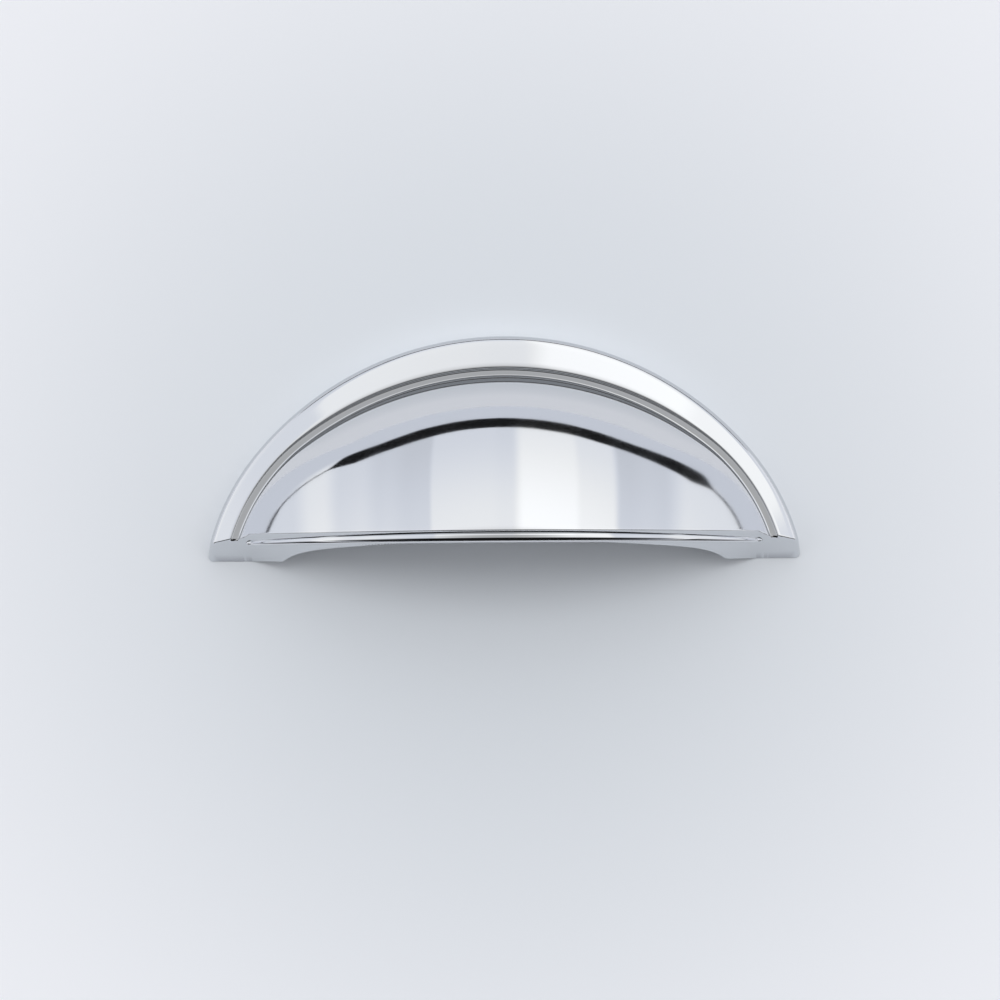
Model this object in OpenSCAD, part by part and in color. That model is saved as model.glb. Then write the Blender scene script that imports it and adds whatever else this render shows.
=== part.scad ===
// Half-moon cup pull for a drawer: one die casting with a bevelled backplate, a crowned
// cup with a beaded lip, a finger hollow behind it and two tapped holes in solid corners.
// Lengths are in millimetres. X runs along the pull, +Y points into the drawer front and
// +Z is up. The origin is midway between the two screw holes, on the mounting face.
// Inside the modules, "depth" is the distance out from the mounting face, along -Y, and
// "level" is the height above the base line, where the backplate's two feet end.

/* [Backplate] */
// Width of the backplate along its base line
plate_w = 93.6; // [91:0.2:95.6]
// Height of the backplate's arch above the base line
plate_h = 35.1; // [33.6:0.1:38]
// Radius of the arch over its crown
plate_crown_r = 50.6; // [49.6:0.1:60]
// Radius of the arch down its two sides
plate_side_r = 37; // [32:0.1:42]
// Depth at the outer edge, where the bevel starts
plate_edge_d = 4.6; // [3.6:0.1:5]
// Slope of the bevelled face
bevel_deg = 20; // [5:1:24]
// Radius of the rounded outer edge
edge_r = 1.6; // [0.6:0.1:2.4]

/* [Cup] */
// Width of the cup's foot along the base line
cup_w = 85; // [82:0.2:86.4]
// Height of the cup's foot above the base line
cup_h = 28.9; // [27:0.1:30]
// Radius of the foot's arch over its crown
cup_crown_r = 51.1; // [47:0.1:60]
// Radius of the foot's arch down its two sides
cup_side_r = 30.4; // [26:0.1:38]
// Projection of the cup from the mounting face, at its lip
cup_out = 23.1; // [21:0.1:28]
// Radius of the cup's face, seen from the side
cup_face_r = 60; // [40:1:120]
// Depth of the floor that the cup rises from
floor_d = 5; // [4:0.1:5.2]
// Width of the groove round the cup's foot
groove_w = 1.05; // [0.4:0.05:1.4]

/* [Lip] */
// Level of the cup's bottom edge in the middle
lip_z = 4.9; // [4:0.1:6]
// How far that edge lies lower at its ends
lip_drop = 0.65; // [0:0.05:1]
// Slope of the lip's face and the two feet, down towards the mounting face
foot_deg = 34; // [28:1:40]
// Radius of the half-round bead along the lip's face
bead_r = 0.92; // [0.7:0.02:1]
// How much smaller that radius is at the bead's ends
bead_taper = 0.42; // [0:0.02:0.5]
// Level of the bead's middle
bead_z = 3.93; // [3.6:0.05:4.1]
// How far the bead's ends lie below its middle
bead_drop = 1; // [0.6:0.05:1.2]
// Half length of the bead, along X
bead_x = 40.4; // [36:0.2:40.8]
// Length over which each end of the bead rounds off
bead_tip = 1.2; // [0.6:0.2:3]

/* [Hollow] */
// Width of the finger hollow along the base line, on the mounting face
hollow_w = 71.2; // [60:0.2:72]
// Height of the hollow above the base line, on the mounting face
hollow_h = 28.4; // [24:0.1:29]
// Thickness of the lip, square to the mounting face
lip_wall = 3; // [2.4:0.1:3.6]
// Radius of the hollow's face, seen from the side
hollow_face_r = 45; // [38:1:60]

/* [Screw holes] */
// Distance between the two screw holes
hole_spacing = 76; // [75:0.5:77]
// Level of the screw holes
hole_z = 6.5; // [6:0.1:8]
// Tapping diameter for an M4 thread
hole_d = 3.3; // [2.5:0.1:3.5]
// Depth of full thread
hole_len = 4.8; // [3:0.1:5]
// Point angle of the tapping drill
drill_deg = 118; // [90:1:140]

/* [Hidden] */
$fn = 128;
// Steps of the cup's and the hollow's surfaces, across and up
cols = 32;
rows = 22;
// Steps along the backplate's side arcs and its crown, and round its outer edge
side_steps = 10;
crown_steps = 44;
edge_steps = 7;
// Strips of the underside, rings of the bead, and sides of each ring
strips = 48;
bead_rings = 44;
bead_sides = 12;
// Radius of the bead's very ends, as a share of its own
bead_end = 0.2;
// Height of the hollow's crest, up which its sides don't draw in any further
hollow_crest = 0.3;
// How far a cutting or joining solid runs past the face that it meets
past = 0.5;
far = 60;

cup_half = cup_w / 2;
cup_rise = cup_out - floor_d;
hollow_half = hollow_w / 2;
hollow_arch_r = (pow(hollow_half, 2) + pow(hollow_h, 2)) / (2 * hollow_h);
hollow_arch_z = hollow_h - hollow_arch_r;
edge_centre_d = plate_edge_d - edge_r * cos(bevel_deg);
bevel_w = plate_h - cup_h - groove_w;
drill_tip = hole_d / 2 / tan(drill_deg / 2);

// An arch of three arcs: a crown arc centred on the middle line, and a smaller side arc
// on each side that runs on from it without a kink and meets the base line at half.
// The centre of the right-hand side arc, as [x, level].
function side_centre(h, half, r1, r2) =
    let (base = [half, r1 - h], d = norm(base), q = r1 - r2,
         along = (q * q - r2 * r2 + d * d) / (2 * d),
         off = sqrt(q * q - along * along), u = base / d)
    [u[0] * along - u[1] * off, h - r1 + u[1] * along + u[0] * off];

plate_side_c = side_centre(plate_h, plate_w / 2, plate_crown_r, plate_side_r);
cup_side_c = side_centre(cup_h, cup_half, cup_crown_r, cup_side_r);

// Direction in which a crown arc hands over to its side arc, from the X axis
function hand_over(h, r1, c) = atan2(c[1] - h + r1, c[0]);

// A point of the backplate's outline, moved inwards by inset: step k along the right-hand
// side arc from just below the base line, then the crown, then the left-hand side arc
function plate_point(k, inset) =
    let (turn = hand_over(plate_h, plate_crown_r, plate_side_c),
         low = asin((-past - plate_side_c[1]) / (plate_side_r - inset)),
         from_end = min(k, 2 * side_steps + crown_steps - k),
         side_turn = low + (turn - low) * from_end / side_steps,
         crown_turn = turn + (90 - turn) * 2 * (from_end - side_steps) / crown_steps,
         at = from_end < side_steps
            ? plate_side_c + (plate_side_r - inset) * [cos(side_turn), sin(side_turn)]
            : [0, plate_h - plate_crown_r] + (plate_crown_r - inset) * [cos(crown_turn), sin(crown_turn)])
    k == from_end ? at : [-at[0], at[1]];

// Half width of the cup's foot, grown outwards by grow, at a level
function foot_half(z, grow = 0) =
    let (crown_z = cup_h - cup_crown_r,
         turn = hand_over(cup_h, cup_crown_r, cup_side_c),
         turn_z = crown_z + (cup_crown_r + grow) * sin(turn))
    z > turn_z ? sqrt(max(pow(cup_crown_r + grow, 2) - pow(z - crown_z, 2), 0))
    : cup_side_c[0] + sqrt(pow(cup_side_r + grow, 2) - pow(z - cup_side_c[1], 2));

// Centre, as [level, rise], of the arc of radius r through (z1, rise1) and (z2, 0),
// on the side of the base
function face_centre(z1, rise1, z2, r) =
    let (chord = [z2 - z1, -rise1], len = norm(chord), back = sqrt(r * r - len * len / 4))
    [(z1 + z2) / 2 + chord[1] / len * back, rise1 / 2 - chord[0] / len * back];

function arc_rise(z, c, r) = c[1] + sqrt(max(r * r - pow(z - c[0], 2), 0));

cup_face_c = face_centre(lip_z, cup_rise, cup_h, cup_face_r);
hollow_face_c = face_centre(lip_z, cup_out - lip_wall, hollow_h, hollow_face_r);

// Rise of the cup over its floor: an arc up the middle, and a parabola across each level
// that comes down to the floor on the foot's outline
function middle_rise(z) = arc_rise(z, cup_face_c, cup_face_r);
function cross_fall(z) = let (at = min(z, cup_h - 0.01)) middle_rise(at) / pow(foot_half(at), 2);
function cup_rise_at(x, z) = middle_rise(z) - cross_fall(z) * x * x;
function cup_depth(x, z) = floor_d + max(cup_rise_at(x, z), 0);

// Level of the lip's edge at x
function lip_level(x) = lip_z - lip_drop * pow(x / cup_half, 2);

// Level at which the slope of the lip's face, run on inwards, would reach the mounting
// face: below the base line under the cup, and on it at the feet
function lip_base(x) = min(lip_level(x) - cup_depth(x, lip_level(x)) * tan(foot_deg), 0);

// Faces of a grid of nx by ny cells whose first corner is point number first
function grid(nx, ny, first, flip = false) =
    [for (j = [0 : ny - 1], i = [0 : nx - 1])
        let (a = first + j * (nx + 1) + i, b = a + 1, c = b + nx + 1, d = a + nx + 1)
        each flip ? [[a, c, b], [a, d, c]] : [[a, b, c], [a, c, d]]];

// The numbers of a grid's points round its border, in order
function border(nx, ny) =
    [each [for (i = [0 : nx]) i],
     each [for (j = [1 : ny]) j * (nx + 1) + nx],
     each [for (i = [nx - 1 : -1 : 0]) ny * (nx + 1) + i],
     each [for (j = [ny - 1 : -1 : 1]) j * (nx + 1)]];

// Turns a drawing made in X and level, and raised in depth, to stand on the mounting face
module stand() {
    rotate([90, 0, 0]) children();
}

// The bevelled plate, with the floor that the cup stands on let into it. Its edge is one
// profile, as [inset, depth], carried along the three arcs of the arch.
module backplate() {
    rounded = [for (k = [0 : edge_steps]) let (turn = (90 - bevel_deg) * k / edge_steps)
        [edge_r - edge_r * cos(turn), edge_centre_d + edge_r * sin(turn)]];
    inner = [edge_r - edge_r * sin(bevel_deg) + bevel_w, plate_edge_d + bevel_w * tan(bevel_deg)];
    profile = concat([[0, 0]], rounded, [inner]);
    steps = 2 * side_steps + crown_steps;
    n = len(profile);
    points = [for (p = profile, k = [0 : steps])
        let (at = plate_point(k, p[0])) [at[0], -p[1], at[1]]];
    difference() {
        polyhedron(points = points, faces = concat(
            grid(steps, n - 1, 0, true),
            [[for (k = [0 : steps]) k]],
            [[for (k = [steps : -1 : 0]) (n - 1) * (steps + 1) + k]],
            [concat([for (j = [0 : n - 1]) j * (steps + 1) + steps],
                    [for (j = [n - 1 : -1 : 0]) j * (steps + 1)])]));
        stand() translate([0, 0, floor_d]) linear_extrude(far) foot_outline(groove_w);
    }
}

// The outline of the cup's foot, grown outwards by grow
module foot_outline(grow) {
    turn = hand_over(cup_h, cup_crown_r, cup_side_c);
    crown_c = [0, cup_h - cup_crown_r];
    reach = [cos(turn), sin(turn)] * 2 * far;
    intersection() {
        translate(crown_c) circle(r = cup_crown_r + grow);
        polygon([crown_c, crown_c + reach, crown_c + [-reach[0], reach[1]]]);
    }
    for (side = [1, -1]) scale([side, 1]) intersection() {
        translate(cup_side_c) circle(r = cup_side_r + grow);
        polygon([crown_c, [0, -far], [2 * far, -far], crown_c + reach]);
    }
}

// The solid cup, from inside the plate to its crowned face
module cup() {
    top = cup_h + past - 0.02;
    low = -past;
    levels = [for (j = [0 : rows]) low + (top - low) * sin(90 * j / rows)];
    face = [for (z = levels, i = [0 : cols])
        let (x = foot_half(z, past) * sin(90 * (2 * i / cols - 1))) [x, z]];
    front = [for (p = face) [p[0], -floor_d - cup_rise_at(p[0], p[1]), p[1]]];
    back = [for (p = face) [p[0], -floor_d / 2, p[1]]];
    n = len(front);
    edge = border(cols, rows);
    polyhedron(points = concat(front, back), faces = concat(
        grid(cols, rows, 0, true), grid(cols, rows, n),
        [for (k = [0 : len(edge) - 1])
            let (a = edge[k], b = edge[(k + 1) % len(edge)]) [a, b, b + n, a + n]]));
}

// The finger hollow: an arch on the mounting face, and a half ellipse across each level
module hollow() {
    top = hollow_h + past - 0.02;
    low = -2;
    levels = [for (j = [0 : rows]) low + (top - low) * sin(90 * j / rows)];
    face = [for (z = levels, i = [0 : cols])
        let (at = min(z, hollow_h - hollow_crest),
             half = sqrt(pow(hollow_arch_r, 2) - pow(at - hollow_arch_z, 2)),
             reach = max(arc_rise(z, hollow_face_c, hollow_face_r), 0) + past,
             t = 90 * (2 * i / cols - 1))
        [half * sin(t), past - reach * cos(t), z]];
    first = rows * (cols + 1);
    polyhedron(points = face, faces = concat(
        grid(cols, rows, 0, true),
        [[for (i = [0 : cols]) i]],
        [[for (i = [cols : -1 : 0]) first + i]],
        [concat([for (j = [0 : rows]) j * (cols + 1) + cols],
                [for (j = [rows : -1 : 0]) j * (cols + 1)])]));
}

// What is cut away under the pull: all that lies below the lip's sloping face, and below
// the base line
module underside() {
    xs = [for (i = [0 : strips]) (plate_w / 2 + 2) * sin(90 * (2 * i / strips - 1))];
    slope = tan(foot_deg);
    top = concat([for (x = xs) [x, -far, lip_base(x) + far * slope]],
                 [for (x = xs) [x, lip_base(x) / slope, 0]],
                 [for (x = xs) [x, 1, 0]]);
    bottom = [for (p = top) [p[0], p[1], -far]];
    n = len(top);
    edge = border(strips, 2);
    polyhedron(points = concat(top, bottom), faces = concat(
        grid(strips, 2, 0, true), grid(strips, 2, n),
        [for (k = [0 : len(edge) - 1])
            let (a = edge[k], b = edge[(k + 1) % len(edge)]) [a, b, b + n, a + n]]));
}

// The half-round bead on the lip's face, which tapers to a rounded end in each foot. Its
// lower half is sunk in the lip.
module bead() {
    rings = [for (k = [0 : bead_rings])
        let (x = bead_x * sin(90 * (2 * k / bead_rings - 1)),
             in = max(abs(x) - (bead_x - bead_tip), 0) / bead_tip,
             full_r = bead_r - bead_taper * pow(x / bead_x, 2),
             r = full_r * sqrt(1 - in * in + pow(bead_end, 2)),
             sunk = max(full_r - r, 0),
             level = bead_z - bead_drop * pow(x / bead_x, 2),
             d = (level - lip_base(x)) / tan(foot_deg) - sunk * sin(foot_deg),
             z = level + sunk * cos(foot_deg))
        for (s = [0 : bead_sides - 1])
            let (turn = 360 * s / bead_sides) [x, -d - r * cos(turn), z + r * sin(turn)]];
    last = bead_rings * bead_sides;
    polyhedron(points = rings, faces = concat(
        [for (k = [0 : bead_rings - 1], s = [0 : bead_sides - 1])
            let (a = k * bead_sides + s, b = k * bead_sides + (s + 1) % bead_sides)
            each [[a, b, b + bead_sides], [a, b + bead_sides, a + bead_sides]]],
        [[for (s = [bead_sides - 1 : -1 : 0]) s]],
        [[for (s = [0 : bead_sides - 1]) last + s]]));
}

// A blind hole in each solid corner, tapped M4 from the mounting face
module screw_holes() {
    for (side = [1, -1]) translate([side * hole_spacing / 2, 0, hole_z]) rotate([90, 0, 0]) {
        translate([0, 0, -1]) cylinder(h = hole_len + 1, d = hole_d);
        translate([0, 0, hole_len]) cylinder(h = drill_tip, d1 = hole_d, d2 = 0);
    }
}

module cup_pull() {
    color("lightsteelblue") translate([0, 0, -hole_z]) difference() {
        union() {
            difference() {
                union() {
                    backplate();
                    cup();
                }
                underside();
            }
            bead();
        }
        hollow();
        screw_holes();
    }
}

cup_pull();
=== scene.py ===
import math

import bmesh
import bpy
from bpy.props import FloatProperty, FloatVectorProperty, IntProperty, PointerProperty
from mathutils import Matrix, Vector


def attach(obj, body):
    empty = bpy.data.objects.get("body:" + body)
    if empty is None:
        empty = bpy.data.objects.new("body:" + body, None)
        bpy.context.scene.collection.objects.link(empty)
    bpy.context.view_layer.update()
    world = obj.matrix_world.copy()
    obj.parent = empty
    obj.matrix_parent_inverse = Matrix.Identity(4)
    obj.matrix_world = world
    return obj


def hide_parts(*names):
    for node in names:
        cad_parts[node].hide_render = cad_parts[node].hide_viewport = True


bl_info = {
    "name": "Half-moon cup pull",
    "version": (1, 0, 0),
    "blender": (4, 5, 0),
    "location": "3D View > Sidebar > Cup pull",
    "description": "A polished chrome cup pull on a pale board, in soft studio light",
    "category": "Object",
}

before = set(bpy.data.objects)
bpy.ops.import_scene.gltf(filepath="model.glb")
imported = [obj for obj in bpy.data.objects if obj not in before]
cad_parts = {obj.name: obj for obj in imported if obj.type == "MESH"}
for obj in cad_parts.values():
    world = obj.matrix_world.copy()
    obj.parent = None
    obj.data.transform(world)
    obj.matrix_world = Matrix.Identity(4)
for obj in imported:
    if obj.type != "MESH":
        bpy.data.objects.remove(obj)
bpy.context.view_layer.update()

MM = 0.001
ROOT = "root"
NODE = "cup_pull"
# Points of the casting's mesh that lie closer than this, in metres, are one point
WELD = 0.0000005
# Edges of the casting that turn by more than this stay sharp
SHARP = math.radians(28)
# Width of the flat grid that the casting's mesh starts from
GRID = 2

# Working coordinates of the casting, in millimetres, are (x, depth, level): depth is the
# distance out from the mounting face, and level is the height above the base line.


# Sizes, finish and studio

def length(name, size, what):
    return FloatProperty(name=name, description=what, default=size * MM, unit="LENGTH", precision=5)


def angle(name, degrees, what):
    return FloatProperty(name=name, description=what, default=math.radians(degrees),
                         unit="ROTATION")


def from_hex(code):
    """Turns an sRGB hex colour into the linear colour that the shaders work in."""
    parts = [int(code[i:i + 2], 16) / 255 for i in (1, 3, 5)]
    return tuple(c / 12.92 if c <= 0.04045 else ((c + 0.055) / 1.055) ** 2.4 for c in parts)


def colour(name, code, what):
    return FloatVectorProperty(name=name, description=what, default=from_hex(code), subtype="COLOR",
                               size=3, min=0, max=1)


class PullSizes(bpy.types.PropertyGroup):
    """Sizes of the casting, the same as in its solid model"""
    plate_w: length("Plate width", 93.6, "Width of the backplate along its base line")
    plate_h: length("Plate height", 35.1, "Height of the backplate's arch")
    plate_crown_r: length("Plate crown radius", 50.6, "Radius of the plate's arch over its crown")
    plate_side_r: length("Plate side radius", 37, "Radius of the plate's arch down its sides")
    plate_edge_d: length("Plate edge depth", 4.6, "Depth at the outer edge, where the bevel starts")
    bevel: angle("Bevel", 20, "Slope of the bevelled face")
    edge_r: length("Edge radius", 1.6, "Radius of the plate's rounded outer edge")
    cup_w: length("Cup width", 85, "Width of the cup's foot along the base line")
    cup_h: length("Cup height", 28.9, "Height of the cup's foot")
    cup_crown_r: length("Cup crown radius", 51.1, "Radius of the foot's arch over its crown")
    cup_side_r: length("Cup side radius", 30.4, "Radius of the foot's arch down its sides")
    cup_out: length("Projection", 23.1, "How far the cup stands out, at its lip")
    cup_face_r: length("Cup face radius", 60, "Radius of the cup's face, seen from the side")
    floor_d: length("Floor depth", 5, "Depth of the floor that the cup rises from")
    groove_w: length("Groove width", 1.05, "Width of the groove round the cup's foot")
    lip_z: length("Lip level", 4.9, "Level of the cup's bottom edge in the middle")
    lip_drop: length("Lip drop", 0.65, "How far that edge lies lower at its ends")
    foot: angle("Foot slope", 34, "Slope of the lip's face and of the two feet")
    bead_r: length("Bead radius", 0.92, "Radius of the half-round bead")
    bead_taper: length("Bead taper", 0.42, "How much smaller that radius is at the ends")
    bead_z: length("Bead level", 3.93, "Level of the bead's middle")
    bead_drop: length("Bead drop", 1, "How far the bead's ends lie below its middle")
    bead_x: length("Bead half length", 40.4, "Half length of the bead")
    bead_tip: length("Bead tip", 1.2, "Length over which each end of the bead rounds off")
    hollow_w: length("Hollow width", 71.2, "Width of the finger hollow along the base line")
    hollow_h: length("Hollow height", 28.4, "Height of the hollow above the base line")
    lip_wall: length("Lip wall", 3, "Thickness of the lip, square to the mounting face")
    hollow_face_r: length("Hollow face radius", 45, "Radius of the hollow's face, from the side")
    hole_spacing: length("Hole spacing", 76, "Distance between the two screw holes")
    hole_z: length("Hole level", 6.5, "Level of the screw holes")
    hole_d: length("Hole diameter", 3.3, "Tapping diameter for the thread")
    hole_len: length("Thread depth", 4.8, "Depth of full thread")
    drill: angle("Drill point", 118, "Point angle of the tapping drill")
    thread_d: length("Thread diameter", 4, "Outside diameter of the thread")
    pitch: length("Thread pitch", 0.7, "Pitch of the thread")


class PullFinish(bpy.types.PropertyGroup):
    """Colours and roughness of the finishes"""
    chrome: colour("Chrome", "#D9DBDE", "Colour of the polished chrome")
    inside: colour("Chrome inside", "#BDBEC3", "Colour of the thin chrome in the hollow")
    zinc: colour("Zinc", "#B4B3AE", "Colour of the bare zinc in the threads")
    polish: FloatProperty(name="Polish", description="Roughness of the polished chrome",
                          default=0.045, min=0, max=1, subtype="FACTOR")
    board: colour("Board", "#F3F4F8", "Colour of the painted board behind the pull")


class PullStudio(bpy.types.PropertyGroup):
    """Camera and light"""
    distance: length("Camera distance", 500, "From the camera to the mounting face")
    view_w: length("View width", 157.7, "Width of the view at the mounting face")
    aim_x: length("Aim across", -0.63, "Where the camera points, across")
    aim_z: length("Aim up", 2.92, "Where the camera points, up from the screw holes")
    roll: angle("Camera roll", 0.37, "Turn of the camera about its own line of sight")
    light: FloatProperty(name="Light", description="Strength of the soft box", default=1.165,
                         min=0)
    lamp: FloatProperty(name="Lamp", description="Strength of the lamp above the pull",
                        default=0.75, min=0)
    columns: IntProperty(name="Arch steps", description="Steps of the mesh along half the arch",
                         default=84, min=20)


# The casting's form

class Arch:
    """A crown arc, and a side arc on each side that runs on from it to the base line."""

    def __init__(self, height, half, crown_r, side_r):
        self.crown_r = crown_r
        self.side_r = side_r
        self.crown = Vector((0, height - crown_r))
        base = Vector((half, crown_r - height))
        gap = crown_r - side_r
        along = (gap ** 2 - side_r ** 2 + base.length_squared) / (2 * base.length)
        off = math.sqrt(gap ** 2 - along ** 2)
        u = base.normalized()
        self.side = self.crown + Vector((u.x * along - u.y * off, u.y * along + u.x * off))
        to_side = self.side - self.crown
        self.turn = math.atan2(to_side.y, to_side.x)

    def crown_length(self, grow):
        return (self.crown_r + grow) * (math.pi / 2 - self.turn)

    def length(self, grow, level):
        """Length of the right-hand half, moved out by grow, from its top down to a level."""
        low = math.asin((level - self.side.y) / (self.side_r + grow))
        return self.crown_length(grow) + (self.side_r + grow) * (self.turn - low)

    def at(self, grow, along):
        """Point at a length from the top, and the direction out of the arch there."""
        over = along - self.crown_length(grow)
        if over <= 0:
            turn = math.pi / 2 - along / (self.crown_r + grow)
            centre, radius = self.crown, self.crown_r + grow
        else:
            turn = self.turn - over / (self.side_r + grow)
            centre, radius = self.side, self.side_r + grow
        out = Vector((math.cos(turn), math.sin(turn)))
        return centre + radius * out, out

    def inset(self, at):
        """How far a point lies inside the arch."""
        up = at - self.crown
        if math.atan2(up.y, abs(up.x)) >= self.turn:
            return self.crown_r - up.length
        return self.side_r - (Vector((abs(at.x), at.y)) - self.side).length

    def half(self, level):
        """Half width of the arch at a level."""
        turn_level = self.crown.y + self.crown_r * math.sin(self.turn)
        if level > turn_level:
            return math.sqrt(max(self.crown_r ** 2 - (level - self.crown.y) ** 2, 0))
        return self.side.x + math.sqrt(self.side_r ** 2 - (level - self.side.y) ** 2)


def arc_centre(low, rise, high, radius):
    """Centre of an arc through (low, rise) and (high, 0), on the side of the base."""
    chord = Vector((high - low, -rise))
    back = math.sqrt(radius ** 2 - chord.length_squared / 4)
    u = chord.normalized()
    return Vector(((low + high) / 2 + u.y * back, rise / 2 - u.x * back))


def arc_rise(level, centre, radius):
    return centre.y + math.sqrt(max(radius ** 2 - (level - centre.x) ** 2, 0))


def crossing(low, high, holds):
    """Where a test that holds at low and fails at high stops holding."""
    for _ in range(40):
        middle = (low + high) / 2
        if holds(middle):
            low = middle
        else:
            high = middle
    return low


def blend(a, b, share):
    return a + (b - a) * share


def ease(share):
    share = min(max(share, 0), 1)
    return share * share * (3 - 2 * share)


def rounded_corner(corner, first, last, radius, steps):
    """Points round an outside corner, from the surface with normal first to that with last."""
    centre = corner - (first + last) * (radius / (1 + first.dot(last)))
    return [centre + first.slerp(last, k / steps) * radius for k in range(steps + 1)]


def fillet(corner, first, last, radius, steps):
    """Points round an inside corner."""
    centre = corner + (first + last) * (radius / (1 + first.dot(last)))
    return [centre - first.slerp(last, k / steps) * radius for k in range(steps + 1)]


class Casting:
    """Works out where each rail of the mesh lies at each station along the arch.

    A station is (f, t, v): f runs along the plate's rim from the top of the arch to where
    the rim starts to round over into the foot, t runs round that corner, and v runs along
    the cup's foot and the lip to where the two meet."""

    # Steps of the mesh round or across each form
    WALL, EDGE, BEVEL, SMALL, FLOOR, FOOT, FACE, LIP = 4, 5, 6, 6, 2, 7, 40, 5
    STRIP, BEAD, BASE, RIM, HOLLOW, BACK = 3, 14, 2, 4, 26, 4
    # Shares of the way along, where the end stations start and where the hollow ends
    END, HOLLOW_END = 0.985, 0.85
    # Radii of the small rounds that the solid model leaves out, in millimetres
    FOOT_FILLET, GROOVE_EDGE, GROOVE_FILLET, LIP_EDGE, RIM_EDGE = 0.35, 0.3, 0.35, 0.17, 0.3
    # Narrow land that the wheel leaves along the rounded outer edge: its turn from the wall, and
    # its width
    LAND_TURN, LAND = math.radians(50.2), 0.12
    # The groove's two rounds take at most these shares of its depth
    EDGE_SHARE, FILLET_SHARE = 0.38, 0.35
    # How far before the foot the wall, the bevel and the groove start to round over
    WALL_BACK, BEVEL_BACK, GROOVE_BACK = 1.05, 0.12, 0.05
    # Lengths over which the cup's fillet and the lip's edge run out at their ends
    FOOT_FADE, LIP_FADE = 1.5, 1.2
    # Shares of the way along, before the hollow's end, where the round of its rim has run out,
    # and over which it does so
    RIM_END, RIM_FADE = 0.03, 0.05
    # The hollow's centre lies this far behind the face, and its sides don't draw in any
    # further up its crest, as in the solid model
    BEHIND, CREST = 0.5, 0.3
    # Share of the hollow's depth at which its steep side walls end, and how steep they are
    SIDE_SHARE, SIDE_POWER = 0.27, 14
    # The cup's sides don't draw in any further than this below its top
    CUP_TOP = 0.01
    # Short lengths over which the slopes of the cup, the hollow and the cup's foot are taken
    CUP_STEP, HOLLOW_STEP, FOOT_STEP = 0.01, 0.005, 0.05
    # The hollow's rim stays this much short of the corner where the hollow has no depth
    CORNER_GAP = 0.0001
    # Stations: the evenly spaced share of the rim, and the steps up to the bead's tip, round
    # the tip, past it, and round the corner into the foot
    EVEN, BEFORE_TIP, TIP, PAST_TIP, CORNER = 0.9, 6, 10, 3, 6

    def __init__(self, sizes):
        for name in PullSizes.__annotations__:
            value = getattr(sizes, name)
            setattr(self, name, value if name in ("bevel", "foot", "drill") else value / MM)
        self.slope = math.tan(self.foot)
        self.under = Vector((0, math.sin(self.foot), -math.cos(self.foot)))
        self.plate = Arch(self.plate_h, self.plate_w / 2, self.plate_crown_r, self.plate_side_r)
        self.cup = Arch(self.cup_h, self.cup_w / 2, self.cup_crown_r, self.cup_side_r)
        self.face_c = arc_centre(self.lip_z, self.cup_out - self.floor_d, self.cup_h,
                                 self.cup_face_r)
        self.hollow_c = arc_centre(self.lip_z, self.cup_out - self.lip_wall, self.hollow_h,
                                   self.hollow_face_r)
        self.hollow_r = ((self.hollow_w / 2) ** 2 + self.hollow_h ** 2) / (2 * self.hollow_h)
        self.hollow_z = self.hollow_h - self.hollow_r
        self.edge_centre_d = self.plate_edge_d - self.edge_r * math.cos(self.bevel)
        self.bevel_start = self.edge_r * (1 - math.sin(self.bevel))
        foot_level = self.floor_d * self.slope
        self.foot_length = self.cup.length(0, foot_level)
        self.end_x = self.cup.at(0, self.foot_length)[0].x
        self.inner_level = self.bevel_end_level()

    # Surfaces

    def cup_depth(self, x, level):
        at = min(level, self.cup_h - self.CUP_TOP)
        fall = arc_rise(at, self.face_c, self.cup_face_r) / self.cup.half(at) ** 2
        return self.floor_d + arc_rise(level, self.face_c, self.cup_face_r) - fall * x * x

    def cup_normal(self, x, level):
        step = self.CUP_STEP
        across = (self.cup_depth(x + step, level) - self.cup_depth(x - step, level)) / (2 * step)
        up = (self.cup_depth(x, level) - self.cup_depth(x, level - step)) / step
        return Vector((-across, 1, -up)).normalized()

    def hollow_half(self, level):
        at = min(level, self.hollow_h - self.CREST)
        return math.sqrt(self.hollow_r ** 2 - (at - self.hollow_z) ** 2)

    def hollow_reach(self, level):
        return max(arc_rise(level, self.hollow_c, self.hollow_face_r), 0) + self.BEHIND

    def hollow_depth(self, x, level):
        """A parabola that follows the cup, with steep walls at its two sides."""
        out = min(abs(x) / self.hollow_half(level), 1)
        wall = self.SIDE_SHARE * math.sqrt(1 - out ** self.SIDE_POWER)
        crown = (1 - self.SIDE_SHARE) * (1 - out ** 2)
        return max(self.hollow_reach(level) * (wall + crown) - self.BEHIND, 0)

    def hollow_normal(self, x, level):
        step = self.HOLLOW_STEP
        across = self.hollow_depth(x + step, level) - self.hollow_depth(x - step, level)
        up = self.hollow_depth(x, level + step) - self.hollow_depth(x, level - step)
        return Vector((across / (2 * step), -1, up / (2 * step))).normalized()

    def hollow_side(self, level):
        """Half width of the hollow's outline on the mounting face."""
        return crossing(0, self.hollow_half(level), lambda x: self.hollow_depth(x, level) > 0)

    def lip_level(self, x):
        return self.lip_z - self.lip_drop * (x / (self.cup_w / 2)) ** 2

    def lip_base(self, x):
        level = self.lip_level(x)
        return min(level - max(self.cup_depth(x, level), self.floor_d) * self.slope, 0)

    def lip_normal(self, x):
        step = self.CUP_STEP
        across = (self.lip_base(x + step) - self.lip_base(x - step)) / (2 * step)
        return Vector((across, self.slope, -1)).normalized()

    def on_lip(self, x, level):
        """The point of the lip's sloping face at x and a level."""
        return Vector((x, (level - self.lip_base(x)) / self.slope, level))

    def lip_edge(self, x):
        """The point where the cup's face meets the lip's face."""
        level = self.lip_level(x)
        if self.lip_base(x) >= 0:
            level = crossing(0, level, lambda at: at < self.cup_depth(x, at) * self.slope)
        return Vector((x, self.cup_depth(x, level), level))

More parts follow.
